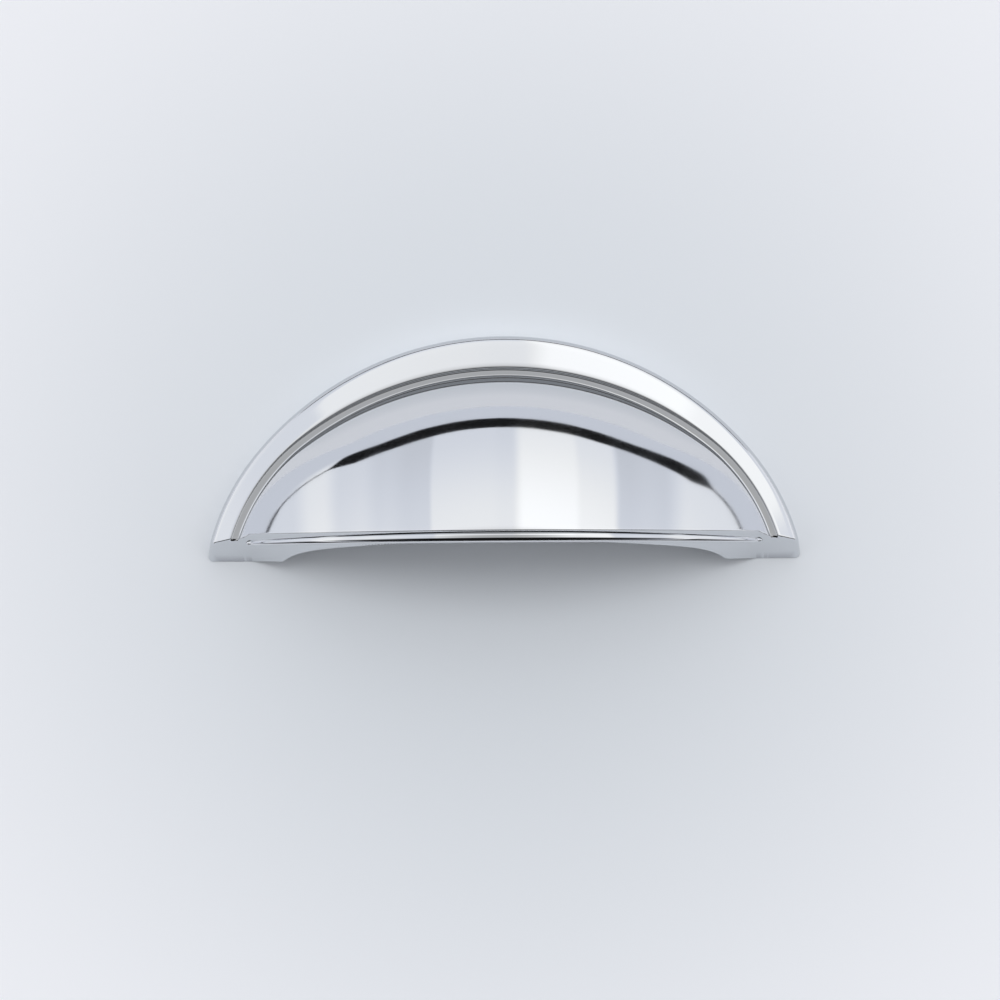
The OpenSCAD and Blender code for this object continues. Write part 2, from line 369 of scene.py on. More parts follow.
    def hollow_rim(self, x):
        """The point where the hollow meets the lip's face, or else the base line."""
        if self.slope * self.hollow_depth(x, 0) + self.lip_base(x) <= 0:
            return Vector((x, self.hollow_depth(x, 0), 0))
        base = self.lip_base(x)
        level = crossing(0, self.lip_z,
                         lambda at: at < base + self.slope * self.hollow_depth(x, at))
        return Vector((x, self.hollow_depth(x, level), level))

    def bevel_depth(self, at):
        return self.plate_edge_d + (self.plate.inset(at) - self.bevel_start) * math.tan(self.bevel)

    def bevel_end_level(self):
        """Level at which the bevel's inner edge meets the foot."""
        level = self.plate_edge_d * self.slope
        for _ in range(12):
            at, _out = self.cup.at(self.groove_w, self.cup.length(self.groove_w, level))
            level = self.bevel_depth(at) * self.slope
        return level

    # Rails

    def roll_over(self, at, normal, t, keep):
        """Carries a point near the foot round the corner into the foot's flat face, by the
        share t. keep is 1 where the point has to stay at its depth, on the mounting face."""
        if t == 0:
            return at
        radius = -self.under.dot(at) / (1 - self.under.dot(normal))
        moved = at - normal * radius + normal.slerp(self.under, t) * radius
        along = normal.cross(self.under)
        if keep and abs(along.y) > 0.05:
            moved += along * ((at.y - moved.y) / along.y * keep)
        return moved

    def rim_rail(self, grow, depth, tilt, f, t, back, keep):
        """A point of the plate's wall or rounded edge, grow out from the rim, where the surface
        leans forward by tilt."""
        full = self.plate.length(grow, depth * self.slope)
        at, out = self.plate.at(grow, f * (full - back))
        normal = Vector((out.x * math.cos(tilt), math.sin(tilt), out.y * math.cos(tilt)))
        return self.roll_over(Vector((at.x, depth, at.y)), normal, t, keep)

    def plate_rails(self, f, t):
        """The wall, the rounded edge and the bevel."""
        points = []
        for k in range(self.WALL):
            share = k / self.WALL
            depth = self.edge_centre_d * share
            points.append(self.rim_rail(0, depth, 0, f, t, self.WALL_BACK, 1 - share))
        for grow, rise, turn in self.edge_profile():
            back = blend(self.WALL_BACK, self.BEVEL_BACK, ease(turn / (math.pi / 2 - self.bevel)))
            points.append(self.rim_rail(grow, self.edge_centre_d + rise, turn, f, t, back, 0))
        return points

    def edge_profile(self):
        """How far in and out each point of the rounded edge lies, and its turn from the wall."""
        half = math.asin(self.LAND / 2 / self.edge_r)
        full = math.pi / 2 - self.bevel
        first = [(self.LAND_TURN - half) * k / self.EDGE for k in range(self.EDGE + 1)]
        last = [blend(self.LAND_TURN + half, full, k / self.EDGE) for k in range(self.EDGE + 1)]

        def on_arc(turn):
            return (self.edge_r * (math.cos(turn) - 1), self.edge_r * math.sin(turn), turn)

        start, end = Vector(on_arc(first[-1])), Vector(on_arc(last[0]))
        land = [blend(start, end, share) for share in (0.08, 0.92)]
        return ([on_arc(turn) for turn in first] + [(at.x, at.y, self.LAND_TURN) for at in land]
                + [on_arc(turn) for turn in last])

    def groove_rails(self, f, t):
        """The bevel, the groove's outer edge, its riser and the start of its floor."""
        outer = -self.bevel_start
        full = self.plate.length(outer, self.plate_edge_d * self.slope)
        start, out = self.plate.at(outer, f * (full - self.BEVEL_BACK))
        full = self.cup.length(self.groove_w, self.inner_level)
        end, inner_out = self.cup.at(self.groove_w, f * (full - self.GROOVE_BACK))
        top = self.bevel_depth(end)
        rise = top - self.floor_d
        lean = math.sin(self.bevel)
        tilt = Vector((out.x * lean, math.cos(self.bevel), out.y * lean))
        riser = Vector((-inner_out.x, 0, -inner_out.y))
        straight = Vector((0, 1, 0))
        edge_r = min(self.GROOVE_EDGE, self.EDGE_SHARE * rise)
        fillet_r = min(self.GROOVE_FILLET, self.FILLET_SHARE * rise)
        over = rounded_corner(Vector((end.x, top, end.y)), tilt, riser, edge_r, self.SMALL)
        down = fillet(Vector((end.x, self.floor_d, end.y)), riser, straight, fillet_r, self.SMALL)
        points = []
        first = Vector((start.x, self.plate_edge_d, start.y))
        for k in range(1, self.BEVEL):
            share = k / self.BEVEL
            at = blend(Vector((first.x, first.z)), Vector((over[0].x, over[0].z)), share)
            here = Vector((at.x, self.bevel_depth(at), at.y))
            points.append(self.roll_over(here, tilt, t, 0))
        for k, here in enumerate(over):
            points.append(self.roll_over(here, tilt.slerp(riser, k / self.SMALL), t, 0))
        for k, here in enumerate(down):
            points.append(self.roll_over(here, riser.slerp(straight, k / self.SMALL), t, 0))
        return points

    def foot_rails(self, v):
        """The fillet between the groove's floor and the cup."""
        along = v * self.foot_length
        at, out = self.cup.at(0, along)
        inside = at - out * self.FOOT_STEP
        slope = (self.cup_depth(inside.x, inside.y) - self.floor_d) / self.FOOT_STEP
        full = math.atan(max(slope, 0.1))
        radius = self.FOOT_FILLET * ease((1 - v) * self.foot_length / self.FOOT_FADE)
        points = []
        for k in range(self.FOOT + 1):
            turn = full * k / self.FOOT
            grow = radius * (math.tan(full / 2) - math.sin(turn))
            here = at + out * grow
            points.append(Vector((here.x, self.floor_d + radius * (1 - math.cos(turn)), here.y)))
        return points

    def lip_rails(self, v):
        """The lip's rounded edge, its sloping face and the bead on it."""
        x = v * self.end_x
        radius = self.LIP_EDGE * ease((1 - v) * self.end_x / self.LIP_FADE)
        edge = self.lip_edge(x)
        below = self.lip_normal(x)
        points = rounded_corner(edge, self.cup_normal(x, edge.z), below, radius, self.LIP)
        tip = max(x - (self.bead_x - self.bead_tip), 0) / self.bead_tip
        full = self.bead_r - self.bead_taper * (x / self.bead_x) ** 2
        radius = full * math.sqrt(max(1 - tip * tip, 0))
        level = self.bead_z - self.bead_drop * min(x / self.bead_x, 1) ** 2
        middle = self.on_lip(x, min(level, points[-1].z))
        up = Vector((0, math.cos(self.foot), math.sin(self.foot)))
        top = middle + up * radius
        for k in range(1, self.STRIP):
            share = k / self.STRIP
            points.append(self.on_lip(x, blend(points[self.LIP].z, top.z, share)))
        for k in range(self.BEAD + 1):
            turn = math.pi * k / self.BEAD
            points.append(middle + (up * math.cos(turn) + self.under * math.sin(turn)) * radius)
        return points

    def rim_share(self, v):
        """Share of the way along the hollow's rim, which is dense towards its corner."""
        w = min(v / self.HOLLOW_END, 1)
        return w + w ** 6 - w ** 7

    def base_rails(self, v, start):
        """From the bead to the hollow's rim, or over the flat base to the mounting face."""
        corner = self.hollow_side(0)
        share = self.rim_share(v)
        if v <= self.HOLLOW_END:
            rim = self.hollow_rim(min(corner * share, corner - self.CORNER_GAP))
        else:
            past = (v - self.HOLLOW_END) / (1 - self.HOLLOW_END)
            rim = Vector((blend(corner, self.end_x, past), 0, 0))
        crease = rim
        if rim.z <= 0:
            x = max(rim.x, v * self.end_x)
            crease = Vector((x, -self.lip_base(x) / self.slope, 0))
        points = []
        for k in range(1, self.STRIP):
            at = blend(start, crease, k / self.STRIP)
            points.append(self.on_lip(at.x, at.z))
        points.append(crease)
        points += [blend(crease, rim, k / self.BASE) for k in range(1, self.BASE)]
        fade = ease((self.HOLLOW_END - self.RIM_END - v) / self.RIM_FADE)
        if fade > 0:
            inside = self.hollow_normal(rim.x, rim.z)
            below = self.lip_normal(rim.x)
            points += rounded_corner(rim, below, inside, self.RIM_EDGE * fade, self.RIM)
        else:
            points += [rim] * (self.RIM + 1)
        return points

    def hollow_rails(self, v, start):
        """The hollow, from its rim to its outline on the mounting face, and dense there."""
        points = []
        if v < self.HOLLOW_END:
            full = math.acos(-self.hollow_z / self.hollow_r)
            level = self.hollow_z + self.hollow_r * math.cos(full * self.rim_share(v))
            end = Vector((self.hollow_side(level), 0, level))
        else:
            end = start
        for k in range(1, self.HOLLOW):
            at = blend(start, end, 1 - (1 - k / self.HOLLOW) ** 3)
            depth = self.hollow_depth(at.x, at.z) if v < self.HOLLOW_END else 0
            points.append(Vector((at.x, depth, at.z)))
        return points + [end]

    def station(self, f, t, v):
        """All points of one station, from the rim round the front and back to the rim."""
        points = self.plate_rails(f, t) + self.groove_rails(f, t)
        foot = self.foot_rails(v)
        points += [blend(points[-1], foot[0], k / self.FLOOR) for k in range(1, self.FLOOR)] + foot
        lip = self.lip_rails(v)
        start, end = foot[-1], lip[0]
        for k in range(1, self.FACE):
            at = blend(start, end, k / self.FACE)
            points.append(Vector((at.x, self.cup_depth(at.x, at.z), at.z)))
        points += lip
        base = self.base_rails(v, lip[-1])
        points += base
        hollow = self.hollow_rails(v, base[-1])
        points += hollow
        points += [blend(hollow[-1], points[0], k / self.BACK) for k in range(1, self.BACK + 1)]
        if t == 1:
            for at in points:
                at.z = at.y * self.slope
        return points

    def stations(self, columns):
        """The right-hand half's stations, from the middle out: dense at the bead's tip."""
        tip_start = (self.bead_x - self.bead_tip) / self.end_x / self.END
        tip = self.bead_tip / self.end_x / self.END
        f = [self.EVEN * k / columns for k in range(columns)]
        f += [blend(self.EVEN, tip_start, k / self.BEFORE_TIP) for k in range(self.BEFORE_TIP)]
        f += [tip_start + tip * math.sin(math.pi / 2 * k / self.TIP) for k in range(self.TIP + 1)]
        f += [blend(tip_start + tip, 1, k / self.PAST_TIP) for k in range(1, self.PAST_TIP + 1)]
        main = [(share, 0, share * self.END) for share in f]
        turns = [k / self.CORNER for k in range(1, self.CORNER + 1)]
        return main + [(1, t, blend(self.END, 1, t)) for t in turns]


def to_row(at, hole_z):
    """From working millimetres to the shared frame, in metres."""
    return Vector((at.x, -at.y, at.z - hole_z)) * MM


def closed(bm):
    return all(len(edge.link_faces) == 2 for edge in bm.edges)


def cut_away(piece, cutter):
    """Cuts a closed mesh out of a piece, and deletes the cutter."""
    cut = piece.modifiers.new("cut", "BOOLEAN")
    cut.operation = "DIFFERENCE"
    cut.solver = "EXACT"
    cut.object = cutter
    bpy.context.view_layer.objects.active = piece
    bpy.ops.object.modifier_apply(modifier=cut.name)
    bpy.data.objects.remove(cutter)


def new_object(name, bm):
    mesh = bpy.data.meshes.new(name)
    bm.to_mesh(mesh)
    bm.free()
    piece = bpy.data.objects.new(name, mesh)
    bpy.context.scene.collection.objects.link(piece)
    return piece


# The cutters of the screw holes are made in millimetres. They start this far behind the
# mounting face, their points that lie closer than WELD_MM are one, and they have this many
# steps round
DRILL_BEHIND, TAP_BEHIND = 0.5, 0.3
WELD_MM = 0.001
DRILL_STEPS, TAP_STEPS = 48, 36


def drill_cutter(form, side):
    """What the tapping drill takes out: a bore with a conical bottom."""
    bm = bmesh.new()
    radius = form.hole_d / 2
    tip = radius / math.tan(form.drill / 2)
    profile = [(0, -DRILL_BEHIND), (radius, -DRILL_BEHIND), (radius, form.hole_len),
               (0, form.hole_len + tip)]
    verts = [bm.verts.new((r, -d, 0)) for r, d in profile]
    edges = [bm.edges.new(pair) for pair in zip(verts, verts[1:])]
    bmesh.ops.spin(bm, geom=verts + edges, cent=(0, 0, 0), axis=(0, 1, 0), dvec=(0, 0, 0),
                   angle=2 * math.pi, steps=DRILL_STEPS, use_merge=True)
    return placed_cutter(bm, form, side)


def thread_cutter(form, side):
    """What the tap takes out: one turn's profile carried up a helix, then cut off flat. It
    starts just outside the drilled bore, and its crest is narrow and flat."""
    bm = bmesh.new()
    minor = form.hole_d / 2 + 0.01
    major = form.thread_d / 2
    pitch = form.pitch
    turns = math.ceil((form.hole_len + 2 * pitch) / pitch)
    profile = [(minor, 0), (minor, pitch / 8), (major, pitch * 0.46), (major, pitch * 0.54),
               (minor, pitch * 7 / 8), (minor, pitch)]
    verts = [bm.verts.new((r, pitch * 1.5 - d, 0)) for r, d in profile]
    edges = [bm.edges.new(pair) for pair in zip(verts, verts[1:])]
    bmesh.ops.spin(bm, geom=verts + edges, cent=(0, 0, 0), axis=(0, 1, 0),
                   dvec=(0, -pitch / TAP_STEPS, 0), angle=2 * math.pi * turns,
                   steps=TAP_STEPS * turns)
    bmesh.ops.remove_doubles(bm, verts=bm.verts, dist=WELD_MM)
    for level, normal in ((TAP_BEHIND, (0, 1, 0)), (-form.hole_len, (0, -1, 0))):
        geom = list(bm.verts) + list(bm.edges) + list(bm.faces)
        bmesh.ops.bisect_plane(bm, geom=geom, dist=0.0001, plane_co=(0, level, 0), plane_no=normal,
                               clear_outer=True)
    bmesh.ops.holes_fill(bm, edges=[e for e in bm.edges if e.is_boundary], sides=0)
    return placed_cutter(bm, form, side)


def placed_cutter(bm, form, side):
    """Brings a cutter to metres and to the left or right hole, as an object."""
    bmesh.ops.remove_doubles(bm, verts=bm.verts, dist=WELD_MM)
    bmesh.ops.scale(bm, verts=bm.verts, vec=(MM, MM, MM))
    bmesh.ops.translate(bm, verts=bm.verts, vec=(side * form.hole_spacing / 2 * MM, 0, 0))
    bmesh.ops.recalc_face_normals(bm, faces=bm.faces)
    if not closed(bm):
        raise RuntimeError("The cutter for a screw hole isn't closed")
    return new_object("hole_cutter", bm)


# Materials

# Settings of a Map Range node that makes a soft step, and of a Mix node that mixes colours
SOFT = {"interpolation_type": "SMOOTHSTEP"}
COLOURS = {"data_type": "RGBA", "out": 2}
# Numbers of a Mix node's sockets: the factor, two numbers and two colours
FACTOR, LOW, HIGH, A, B = 0, 2, 3, 6, 7
# Shares of the board's red, green and blue that are left round the pull: painted shade, which makes
# the board's colour greyer there
SHADE_ROUND_PULL = (0.77, 0.8, 0.815)


def add(tree, kind, *values, out=0, sockets=None, **settings):
    """Adds a shader node with its settings, and gives it values, or links from other sockets,
    in the order of its sockets or by their numbers or names. Returns one of its outputs, or
    all of them where out is None."""
    node = tree.nodes.new("ShaderNode" + kind)
    for name, setting in settings.items():
        setattr(node, name, setting)
    for socket, value in (*enumerate(values), *(sockets or {}).items()):
        if isinstance(value, bpy.types.NodeSocket):
            tree.links.new(value, node.inputs[socket])
        else:
            node.inputs[socket].default_value = value
    return node.outputs if out is None else node.outputs[out]


def new_material(name):
    material = bpy.data.materials.new(name)
    material.use_nodes = True
    material.node_tree.nodes.clear()
    return material, material.node_tree


def per_metre(size):
    """The scale of a noise whose patches are about size millimetres across."""
    return 1 / (size * MM)


def tapped_metal(tree, place, form):
    """1 up to just past the thread's outside and its depth, and 0 elsewhere."""
    x, y, z = add(tree, "SeparateXYZ", place, out=None)
    across = add(tree, "Math", x, operation="ABSOLUTE")
    across = add(tree, "Math", across, form.hole_spacing / 2 * MM, operation="SUBTRACT")
    across = add(tree, "Math", across, across, operation="MULTIPLY")
    above = add(tree, "Math", z, z, operation="MULTIPLY")
    off = add(tree, "Math", across, above, operation="ADD")
    off = add(tree, "Math", off, operation="SQRT")
    outside = form.thread_d / 2
    near_axis = add(tree, "MapRange", off, (outside + 0.02) * MM, (outside + 0.06) * MM, 1, 0,
                    **SOFT)
    near_back = add(tree, "MapRange", y, -(form.hole_len + 0.2) * MM,
                    -(form.hole_len + 0.1) * MM, **SOFT)
    return add(tree, "Math", near_axis, near_back, operation="MULTIPLY")


def chrome_material(finish, form):
    """Bright chrome plate over a buffed zinc die casting. It mirrors the room with a slightly
    blue cast. The buffing leaves a faint swell, some millimetres across, and hair lines. In
    the hollow and on the back the plate is thin over the as-cast skin and looks satin, and in
    the threads the bare zinc is dull and warm."""
    material, tree = new_material("chrome_plated_die_casting")
    place = add(tree, "TexCoord", out="Object")
    cast = add(tree, "Attribute", out="Fac", attribute_name="as_cast")
    tapped = tapped_metal(tree, place, form)

    # Swell from the buffing wheel
    swell = add(tree, "TexNoise", sockets={"Vector": place, "Scale": per_metre(7.143),
                                           "Detail": 1, "Roughness": 0.4})
    # Haze from wiping
    haze = add(tree, "TexNoise", sockets={"Vector": place, "Scale": per_metre(12.5),
                                          "Detail": 3, "Roughness": 0.6})
    # Hair lines of the buff, 50 times as long, along the pull
    along = add(tree, "Mapping", place, sockets={"Scale": (0.02, 1, 1)})
    hair = add(tree, "TexNoise", sockets={"Vector": along, "Scale": per_metre(0.15385),
                                          "Detail": 2})
    # Grain of the as-cast skin
    grain = add(tree, "TexNoise", sockets={"Vector": place, "Scale": per_metre(0.4),
                                           "Detail": 2, "Roughness": 0.6})

    metal = add(tree, "Mix", sockets={FACTOR: cast, A: (*finish.chrome, 1),
                                      B: (*finish.inside, 1)}, **COLOURS)
    metal = add(tree, "Mix", sockets={FACTOR: tapped, A: metal, B: (*finish.zinc, 1)}, **COLOURS)

    # The buffed plate is a little duller where it is hazy and in the hair lines
    hazed = add(tree, "MapRange", haze, 0.35, 0.75, finish.polish * 0.75, finish.polish * 1.4,
                **SOFT)
    lined = add(tree, "MapRange", hair, 0.4, 0.8, 0, 0.012, **SOFT)
    buffed = add(tree, "Math", hazed, lined, operation="ADD")
    satin = add(tree, "MapRange", grain, 0.3, 0.7, 0.16, 0.26, **SOFT)
    plate = add(tree, "Mix", sockets={FACTOR: cast, LOW: buffed, HIGH: satin})
    bare = add(tree, "Math", tapped, 0.35, operation="MULTIPLY")
    rough = add(tree, "Math", plate, bare, operation="MAXIMUM")

    # The swell stands 0.02 mm high at most, and the skin's grain 0.03 mm
    swelled = add(tree, "Bump", sockets={"Strength": 0.35, "Distance": 0.02 * MM,
                                         "Height": swell})
    height = add(tree, "Math", grain, cast, operation="MULTIPLY")
    bumped = add(tree, "Bump", sockets={"Strength": 0.5, "Distance": 0.03 * MM,
                                        "Height": height, "Normal": swelled})
    shader = add(tree, "BsdfPrincipled", sockets={"Base Color": metal, "Metallic": 1,
                                                  "Roughness": rough, "Normal": bumped})
    add(tree, "OutputMaterial", shader, out=None)
    return material


def board_material(finish):
    """Smooth board under matt white emulsion: pale, cool, and even apart from painted shade that
    makes its colour a little greyer round the pull, with a faint roller stipple. From behind it is
    clear, so that the back of the pull can be looked at."""
    material, tree = new_material("matt_emulsion_on_board")
    place = add(tree, "TexCoord", out="Object")
    # Roller stipple, and wide patches where the paint lies thicker
    stipple = add(tree, "TexNoise", sockets={"Vector": place, "Scale": per_metre(1),
                                             "Detail": 2})
    patch = add(tree, "TexNoise", sockets={"Vector": place, "Scale": per_metre(166.67),
                                           "Detail": 2})
    # Painted shade: the board's colour, not its light, is a little greyer round the pull, as it
    # looks in the photograph
    far = add(tree, "VectorMath", place, out="Value", operation="LENGTH")
    spread = add(tree, "MapRange", far, 20 * MM, 130 * MM, **SOFT)
    spread = add(tree, "Math", spread, add(tree, "Math", patch, 0.06, operation="MULTIPLY"),
                 operation="ADD")
    # The board's colour with the painted shade round the pull
    shaded_board = [share * part for share, part in zip(SHADE_ROUND_PULL, finish.board)]
    tint = add(tree, "Mix", sockets={FACTOR: spread, A: (*shaded_board, 1), B: (*finish.board, 1)},
               **COLOURS)
    bumped = add(tree, "Bump", sockets={"Strength": 0.1, "Distance": 0.02 * MM,
                                        "Height": stipple})
    paint = add(tree, "BsdfPrincipled", sockets={"Base Color": tint, "Roughness": 0.9,
                                                 "Specular IOR Level": 0.15, "Normal": bumped})
    # A little of the pale background's own light, for the camera and for the metal
    rays = add(tree, "LightPath", out=None)
    seen = add(tree, "Math", rays["Is Camera Ray"], rays["Is Glossy Ray"], operation="MAXIMUM")
    pale = add(tree, "Emission", tint, add(tree, "Math", seen, 0.05, operation="MULTIPLY"))
    front = add(tree, "AddShader", paint, pale)
    # Clear from behind, and for what is seen through it from there
    behind = add(tree, "NewGeometry", out="Backfacing")
    passed = add(tree, "Math", rays["Transparent Depth"], 0.5, operation="GREATER_THAN")
    clear = add(tree, "Math", behind, passed, operation="MAXIMUM")
    shader = add(tree, "MixShader", clear, front, add(tree, "BsdfTransparent"))
    add(tree, "OutputMaterial", shader, out=None)
    return material


# Operators

def casting_mesh(form, columns):
    """A grid whose columns are the stations, from the left end to the right, and whose rows
    are the rails. Its points are marked as_cast from half way round the hollow's rim on."""
    right = [form.station(*at) for at in form.stations(columns)]
    across = 2 * (len(right) - 1)
    along = len(right[0]) - 1
    as_cast_from = along + 3 - form.HOLLOW - form.BACK - form.RIM
    bm = bmesh.new()
    bmesh.ops.create_grid(bm, x_segments=across, y_segments=along, size=GRID / 2)
    cast = bm.verts.layers.float.new("as_cast")
    for vert in bm.verts:
        column = round((vert.co.x / GRID + 0.5) * across) - across // 2
        rail = round((vert.co.y / GRID + 0.5) * along)
        at = right[abs(column)][rail].copy()
        if column < 0:
            at.x = -at.x
        vert.co = to_row(at, form.hole_z)
        vert[cast] = 1.0 if as_cast_from <= rail < along else 0.0
    bmesh.ops.remove_doubles(bm, verts=bm.verts, dist=WELD)
    ends = [edge for edge in bm.edges if edge.is_boundary]
    caps = bmesh.ops.holes_fill(bm, edges=ends, sides=0)["faces"]
    bmesh.ops.triangulate(bm, faces=caps)
    bmesh.ops.recalc_face_normals(bm, faces=bm.faces)
    if not closed(bm):
        raise RuntimeError("The casting's mesh isn't closed")
    return bm


class OBJECT_OT_cup_pull_casting(bpy.types.Operator):
    """Models the pull's casting with its small rounds and tapped holes"""
    bl_idname = "object.cup_pull_casting"
    bl_label = "Cup pull casting"

    def execute(self, context):
        form = Casting(context.scene.pull_sizes)
        piece = new_object("cup_pull_casting",
                           casting_mesh(form, context.scene.pull_studio.columns))
        for side in (-1, 1):
            cut_away(piece, drill_cutter(form, side))
            cut_away(piece, thread_cutter(form, side))
        piece.data.materials.clear()
        piece.data.materials.append(chrome_material(context.scene.pull_finish, form))
        piece.data.shade_smooth()
        piece.data.set_sharp_from_angle(angle=SHARP)
        even = piece.modifiers.new("even_normals", "WEIGHTED_NORMAL")
        even.keep_sharp = True
        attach(piece, ROOT)
        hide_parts(NODE)
        return {"FINISHED"}


# The board reaches this far to each side of the pull, and lies this far behind its mounting
# face, in metres
BOARD_REACH, BOARD_GAP = 1.5, 0.0001
# Panels of the soft box: from one angle to the side to another, in degrees, the light changes
# by this share
PANELS = ((-74, -68, 0.14), (-65, -59, -0.17), (-53, -46, -0.09), (-44, -36, -0.06),
          (-29, -27, 0.155), (-6, 0, -0.02), (3, 8, 0.235), (27, 30, -0.1), (41, 44, -0.27),
          (46, 54, 0.05), (58, 66, 0.22))
# Height of the dark edge of the room, as shares of its full height that add up: between two
# angles round the line straight ahead, in degrees, each goes from one amount to another
EDGE_HEIGHTS = ((-66, -58, 0.08, 0), (-44, -36, 0.08, 1), (48, 55, 0, -0.87))
# Tints of the box where it is dimmest and brightest, and of the far end of the board
COOL, WARM, FAR_TINT = (0.95, 0.985, 1.07, 1), (1, 1, 0.995, 1), (0.94, 0.98, 1.08, 1)
# Strengths of the photographer's side of the room, the far end of the board, a dim strip below
# and the dark
AHEAD, FAR, STRIP, DARK = 0.52, 0.8, 0.62, 0.012
# How far above straight ahead the photographer's side has its middle, in degrees
AHEAD_UP = 8
# Half the height of the dark edge of the room where it is widest, in degrees
EDGE_HALF = 1.9
# The plain background that the camera sees past the board
BACKGROUND = "#DEE1E7"
# The soft lamp stands in this direction from the pull, and looks this wide, in degrees
LAMP_FROM, LAMP_WIDE = (0, -0.8, 0.29), 25


def in_degrees(tree, operation, *values):
    """The angle that one of the Math node's functions gives, in degrees."""
    turn = add(tree, "Math", *values, operation=operation)
    return add(tree, "Math", turn, operation="DEGREES")


def add_steps(tree, total, turn, steps):
    """Adds the soft steps that an angle goes through to a number."""
    for at in steps:
        change = add(tree, "MapRange", turn, *at, **SOFT)
        total = add(tree, "Math", change, total, operation="ADD")
    return total


def soft_box(tree, side, off, studio):
    """The box's tint and strength. side is the angle to the side, and off is the angle from
    straight ahead."""
    panels = add_steps(tree, 1, side, [(low, high, 0, change) for low, high, change in PANELS])
    dimmed = add(tree, "MapRange", off, 45, 85, 1, 0.8, **SOFT)
    box = add(tree, "Math", panels, dimmed, operation="MULTIPLY")
    bright = add(tree, "MapRange", box, 0.72, 1.05, **SOFT)
    tint = add(tree, "Mix", sockets={FACTOR: bright, A: COOL, B: WARM}, **COLOURS)
    return tint, add(tree, "Math", box, studio.light, operation="MULTIPLY")


def dark_edge(tree, x, z, off, up):
    """1 on the dark edge of the room, all round above: wide near the top, and thin at the
    sides, where it lies further from straight ahead."""
    turn = in_degrees(tree, "ARCTAN2", x, z)
    half = add(tree, "Math", add_steps(tree, 0, turn, EDGE_HEIGHTS), EDGE_HALF,
               operation="MULTIPLY")
    turn = add(tree, "Math", turn, operation="ABSOLUTE")
    reach = add(tree, "Math", off, add(tree, "MapRange", turn, 30, 65, 83.5, 85, **SOFT),
                operation="SUBTRACT")
    reach = add(tree, "Math", reach, operation="ABSOLUTE")
    inside = add(tree, "Math", reach, half, operation="LESS_THAN")
    return add(tree, "Math", inside, add(tree, "MapRange", up, -14, -8, **SOFT),
               operation="MULTIPLY")


def room(tree, studio):
    """Tint and strength of the light from each direction round the pull. Angles are in
    degrees."""
    x, y, z = add(tree, "SeparateXYZ", add(tree, "TexCoord", out="Generated"), out=None)
    forward = add(tree, "Math", y, -1, operation="MULTIPLY")
    off = in_degrees(tree, "ARCCOSINE", forward)
    up = in_degrees(tree, "ARCSINE", z)
    side = in_degrees(tree, "ARCTAN2", x, add(tree, "Math", forward, 1, operation="ADD"))
    side = add(tree, "Math", side, 2, operation="MULTIPLY")
    tint, box = soft_box(tree, side, off, studio)

    # The photographer's side of the room, straight ahead and a little above
    aside = in_degrees(tree, "ARCTAN2", x, forward)
    aside = add(tree, "Math", aside, operation="ABSOLUTE")
    above = add(tree, "Math", up, AHEAD_UP, operation="SUBTRACT")
    ahead = add(tree, "Math", add(tree, "Math", aside, aside, operation="MULTIPLY"),
                add(tree, "Math", above, above, operation="MULTIPLY"), operation="ADD")
    ahead = add(tree, "Math", ahead, operation="SQRT")
    ahead = add(tree, "MapRange", ahead, 8, 40, **SOFT)
    box = add(tree, "Mix", sockets={FACTOR: ahead, LOW: AHEAD, HIGH: box})
    # Past the dark edge of the room comes the far end of the board
    far = add(tree, "MapRange", off, 84.5, 86, **SOFT)
    box = add(tree, "Mix", sockets={FACTOR: far, LOW: box, HIGH: FAR})
    tint = add(tree, "Mix", sockets={FACTOR: far, A: tint, B: FAR_TINT}, **COLOURS)

    # Below come a dim strip and then the dark, apart from a narrow light at each side
    lamps = add(tree, "Math", add(tree, "MapRange", aside, 66, 68, **SOFT),
                add(tree, "MapRange", aside, 71, 72.5, 1, 0, **SOFT), operation="MULTIPLY")
    bright = add(tree, "Math", add(tree, "MapRange", up, -12, -8, **SOFT),
                 add(tree, "MapRange", up, -23, -20, 0, STRIP, **SOFT), operation="MAXIMUM")
    bright = add(tree, "Math", bright, lamps, operation="MAXIMUM")
    clear = add(tree, "Math", 1, dark_edge(tree, x, z, off, up), operation="SUBTRACT")
    bright = add(tree, "Math", bright, clear, operation="MULTIPLY")

    front = add(tree, "Math", box, bright, operation="MULTIPLY")
    front = add(tree, "Math", front, DARK, operation="ADD")
    back = add(tree, "MapRange", up, -60, 60, 0.25, 0.9, **SOFT)
    past = add(tree, "MapRange", off, 90, 92, **SOFT)
    return tint, add(tree, "Mix", sockets={FACTOR: past, LOW: front, HIGH: back})


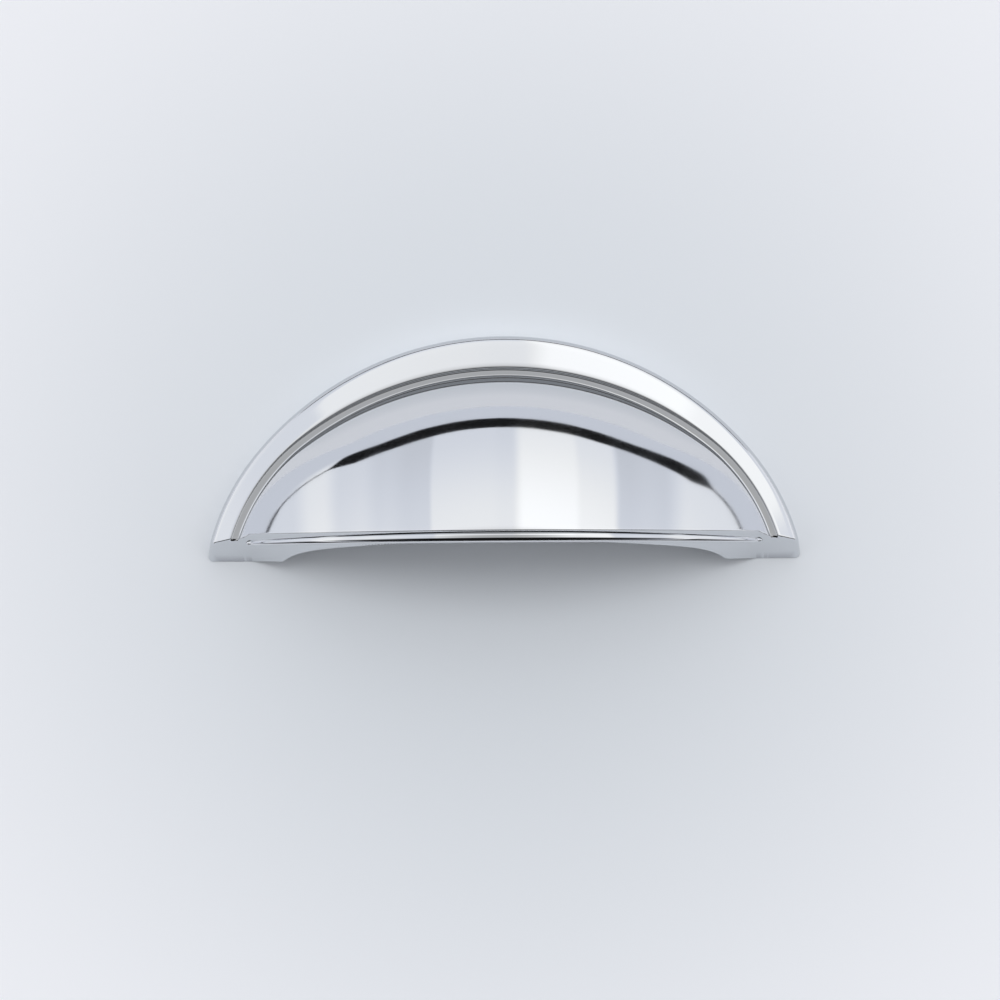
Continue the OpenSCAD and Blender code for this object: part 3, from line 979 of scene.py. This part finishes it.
class SCENE_OT_cup_pull_stage(bpy.types.Operator):
    """Sets up the board behind the pull, the soft studio light and the camera"""
    bl_idname = "scene.cup_pull_stage"
    bl_label = "Board, light and camera"

    def execute(self, context):
        scene = context.scene
        self.board(scene)
        self.light(scene)
        self.lamp(scene)
        self.camera(scene)
        scene.view_settings.view_transform = "Standard"
        return {"FINISHED"}

    def board(self, scene):
        bm = bmesh.new()
        bmesh.ops.create_grid(bm, x_segments=1, y_segments=1, size=BOARD_REACH)
        bmesh.ops.rotate(bm, verts=bm.verts, cent=(0, 0, 0),
                         matrix=Matrix.Rotation(math.radians(90), 3, "X"))
        bmesh.ops.translate(bm, verts=bm.verts, vec=(0, BOARD_GAP, 0))
        board = new_object("board", bm)
        board.data.materials.append(board_material(scene.pull_finish))

    def light(self, scene):
        """A soft box in front of and above the pull, in a dark room. The camera sees a plain
        pale background in its place."""
        world = bpy.data.worlds.new("studio")
        world.use_nodes = True
        scene.world = world
        tree = world.node_tree
        tree.nodes.clear()
        lit = add(tree, "Background", *room(tree, scene.pull_studio))
        pale = add(tree, "Background", (*from_hex(BACKGROUND), 1), 1)
        seen = add(tree, "LightPath", out="Is Camera Ray")
        add(tree, "OutputWorld", add(tree, "MixShader", seen, lit, pale), out=None)

    def lamp(self, scene):
        """A soft lamp above, for the pull's shadow on the board below it. The polished metal
        doesn't mirror it."""
        data = bpy.data.lights.new("lamp_above", "SUN")
        data.angle = math.radians(LAMP_WIDE)
        data.energy = scene.pull_studio.lamp
        lamp = bpy.data.objects.new("lamp_above", data)
        scene.collection.objects.link(lamp)
        place = Vector(LAMP_FROM)
        turn = place.to_track_quat("Z", "Y").to_matrix().to_4x4()
        lamp.matrix_world = Matrix.Translation(place) @ turn
        lamp.visible_glossy = False
        lamp.visible_camera = False

    def camera(self, scene):
        """Looks straight at the board. The lens gives the view's width at the mounting face."""
        studio = scene.pull_studio
        data = bpy.data.cameras.new("camera")
        data.lens = data.sensor_width * studio.distance / studio.view_w
        data.clip_start = 0.02
        data.clip_end = 20
        camera = bpy.data.objects.new("camera", data)
        scene.collection.objects.link(camera)
        look = Matrix.Rotation(math.radians(90), 4, "X") @ Matrix.Rotation(-studio.roll, 4, "Z")
        place = Matrix.Translation((studio.aim_x, -studio.distance, studio.aim_z))
        camera.matrix_world = place @ look
        scene.camera = camera


class VIEW3D_PT_cup_pull(bpy.types.Panel):
    """Lists the sizes and the steps that build the pull and its stage"""
    bl_label = "Cup pull"
    bl_space_type = "VIEW_3D"
    bl_region_type = "UI"
    bl_category = "Cup pull"

    def draw(self, context):
        layout = self.layout
        scene = context.scene
        for group in (scene.pull_sizes, scene.pull_finish, scene.pull_studio):
            box = layout.box()
            for name in type(group).__annotations__:
                box.prop(group, name)
        for operator in (OBJECT_OT_cup_pull_casting, SCENE_OT_cup_pull_stage):
            layout.operator(operator.bl_idname)


CLASSES = (PullSizes, PullFinish, PullStudio, OBJECT_OT_cup_pull_casting,
           SCENE_OT_cup_pull_stage, VIEW3D_PT_cup_pull)


def register():
    for cls in CLASSES:
        bpy.utils.register_class(cls)
    bpy.types.Scene.pull_sizes = PointerProperty(type=PullSizes)
    bpy.types.Scene.pull_finish = PointerProperty(type=PullFinish)
    bpy.types.Scene.pull_studio = PointerProperty(type=PullStudio)


def unregister():
    del bpy.types.Scene.pull_studio
    del bpy.types.Scene.pull_finish
    del bpy.types.Scene.pull_sizes
    for cls in reversed(CLASSES):
        bpy.utils.unregister_class(cls)


def main():
    register()
    bpy.ops.object.cup_pull_casting()
    bpy.ops.scene.cup_pull_stage()
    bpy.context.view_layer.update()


if __name__ == "__main__":
    main()
